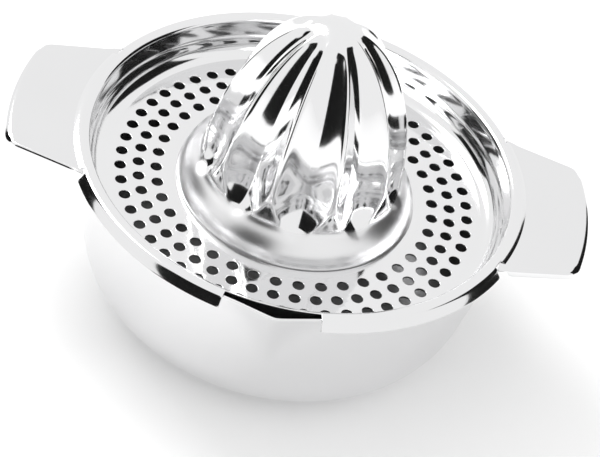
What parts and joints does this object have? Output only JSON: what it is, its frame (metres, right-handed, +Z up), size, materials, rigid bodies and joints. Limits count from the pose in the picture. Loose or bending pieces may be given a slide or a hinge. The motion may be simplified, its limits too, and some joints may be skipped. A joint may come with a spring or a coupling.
{
  "type": "citrus juicer",
  "caption": "Two-piece sheet-steel citrus juicer: a round bowl with a pouring lip under a lift-off strainer tray with a ribbed reamer and side handles.",
  "frame": {"origin": "centre of the bowl's flat base, on the surface it stands on", "axes": "+Z up along the reamer's axis, +X along the two handles, -Y towards the pouring lip"},
  "size_m": [0.1966, 0.1542, 0.117],
  "materials": {
    "bowl_steel": "softly polished stainless steel",
    "tray_steel": "mirror-polished stainless steel, not plated",
    "reamer_steel": "mirror-polished stainless steel, not plated"
  },
  "bodies": {
    "bowl_body": {"bowl": "bowl_steel"},
    "tray_body": {"strainer_tray": "tray_steel", "reamer": "reamer_steel"}
  },
  "joints": [
    {"name": "tray_lift", "type": "slide", "parent": "bowl_body", "child": "tray_body", "axis": [0, 0, 1], "range_m": [0, 0.03]}
  ]
}
